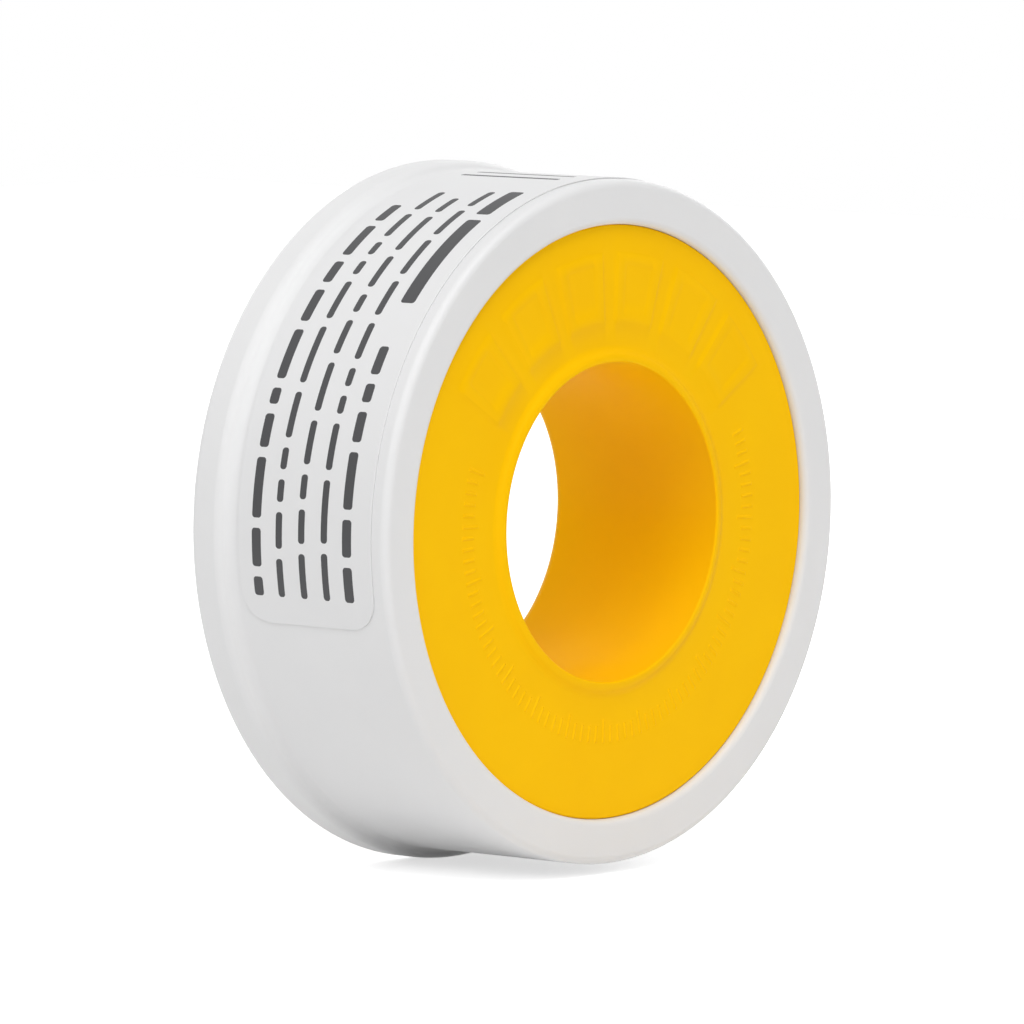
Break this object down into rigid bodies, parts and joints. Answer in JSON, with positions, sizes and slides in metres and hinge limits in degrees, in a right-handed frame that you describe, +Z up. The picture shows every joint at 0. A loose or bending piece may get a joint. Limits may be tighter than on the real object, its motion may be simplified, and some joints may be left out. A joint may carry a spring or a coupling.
{
  "type": "thread seal tape roll",
  "caption": "Roll of thread seal tape: thin film wound on a flanged spool that turns inside a round snap-together casing, with a straight bore right through.",
  "frame": {"origin": "on the roll's axis, halfway along the casing's width", "axes": "+Z up with the roll standing on its edge; +Y along the axis, from the spool's flange towards the back cover; the label's lower end is on the -X side"},
  "size_m": [0.0494, 0.0176, 0.0494],
  "materials": {
    "casing_plastic": "white moulded plastic, soft satin",
    "spool_plastic": "yellow moulded plastic, satin",
    "film": "soft white fluoropolymer film",
    "label_stock": "white sticker with dark print"
  },
  "bodies": {
    "casing": {"casing": "casing_plastic", "label": "label_stock"},
    "cover": {"back_cover": "casing_plastic"},
    "spool": {"spool": "spool_plastic", "tape_winding": "film", "tape_outer_turn": "film"}
  },
  "joints": [
    {"name": "cover_pull", "type": "slide", "parent": "casing", "child": "cover", "axis": [0, 1, 0], "range_m": [0, 0.024]},
    {"name": "spool_spin", "type": "hinge", "parent": "cover", "child": "spool", "pos_m": [0, 0.00643, 0], "axis": [0, 1, 0], "continuous": true}
  ]
}
